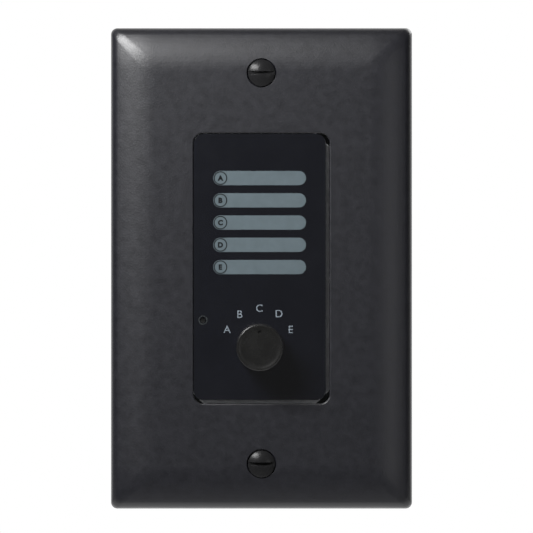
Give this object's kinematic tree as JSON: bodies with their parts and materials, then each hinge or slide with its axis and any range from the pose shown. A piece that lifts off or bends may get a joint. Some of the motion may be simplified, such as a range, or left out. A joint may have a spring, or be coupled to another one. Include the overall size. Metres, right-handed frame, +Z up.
{
  "type": "wall audio controller",
  "caption": "Wall plate with a gloss control panel: labelled source fields, a status light and a rotary selector knob, on a folded steel chassis with its rotary switch, board and jack",
  "frame": {"origin": "on the wall surface, midway between the two box screws", "axes": "+Z up, +X to the right seen from the front, +Y into the wall along the screws; the front faces -Y"},
  "size_m": [0.0746, 0.0427, 0.119],
  "materials": {
    "plate_plastic": "matte charcoal moulding with a faint fine mottle",
    "black_screw": "black gloss screw heads, slightly worn at the slot",
    "zinc_steel": "bright zinc-plated steel",
    "zinc_sheet": "zinc-plated steel sheet with rolling marks",
    "panel_gloss": "gloss black panel with printed legends",
    "adhesive_foam": "black double-sided foam tape",
    "label_film": "matte blue-grey film labels",
    "clear_pipe": "clear moulded light pipe",
    "led_body": "white lamp body with a clear lens",
    "knob_plastic": "black satin moulding",
    "spring_steel": "spring steel",
    "tinned_sheet": "tin-plated sheet",
    "cast_zinc": "die-cast zinc, bare",
    "nickel_brass": "nickel-plated brass",
    "switch_moulding": "black glass-filled moulding",
    "rotor_moulding": "natural acetal",
    "stator_moulding": "brown phenolic moulding",
    "contact_bronze": "phosphor bronze",
    "board_laminate": "black solder mask on glass laminate",
    "chip_ceramic": "chip resistors with tinned end caps",
    "jack_moulding": "black moulded jack body",
    "contact_gold": "gold-plated contact wire"
  },
  "bodies": {
    "chassis": {"wall_plate": "plate_plastic", "plate_screws": "black_screw", "box_screws": "zinc_steel", "chassis_yoke": "zinc_sheet", "front_panel": "panel_gloss", "panel_adhesive": "adhesive_foam", "label_fields": "label_film", "light_pipe": "clear_pipe", "status_led": "led_body", "switch_clamp": "tinned_sheet", "switch_bushing": "cast_zinc", "bushing_nut": "nickel_brass", "lock_washer": "spring_steel", "switch_housing": "switch_moulding", "switch_stator": "stator_moulding", "switch_contacts": "contact_bronze", "circuit_board": "board_laminate", "board_standoffs": "zinc_steel", "board_screws": "zinc_steel", "chip_resistors": "chip_ceramic", "jack_housing": "jack_moulding", "jack_shield": "tinned_sheet", "jack_contacts": "contact_gold"},
    "selector": {"selector_knob": "knob_plastic", "knob_clip": "spring_steel", "switch_rotor": "rotor_moulding", "detent_plungers": "rotor_moulding", "detent_spring": "spring_steel", "wiper_contact": "contact_bronze"}
  },
  "joints": [
    {"name": "knob_turn", "type": "hinge", "parent": "chassis", "child": "selector", "pos_m": [-0.00044, 0, -0.01956], "axis": [0, 1, 0], "range_deg": [-60, 60]}
  ]
}
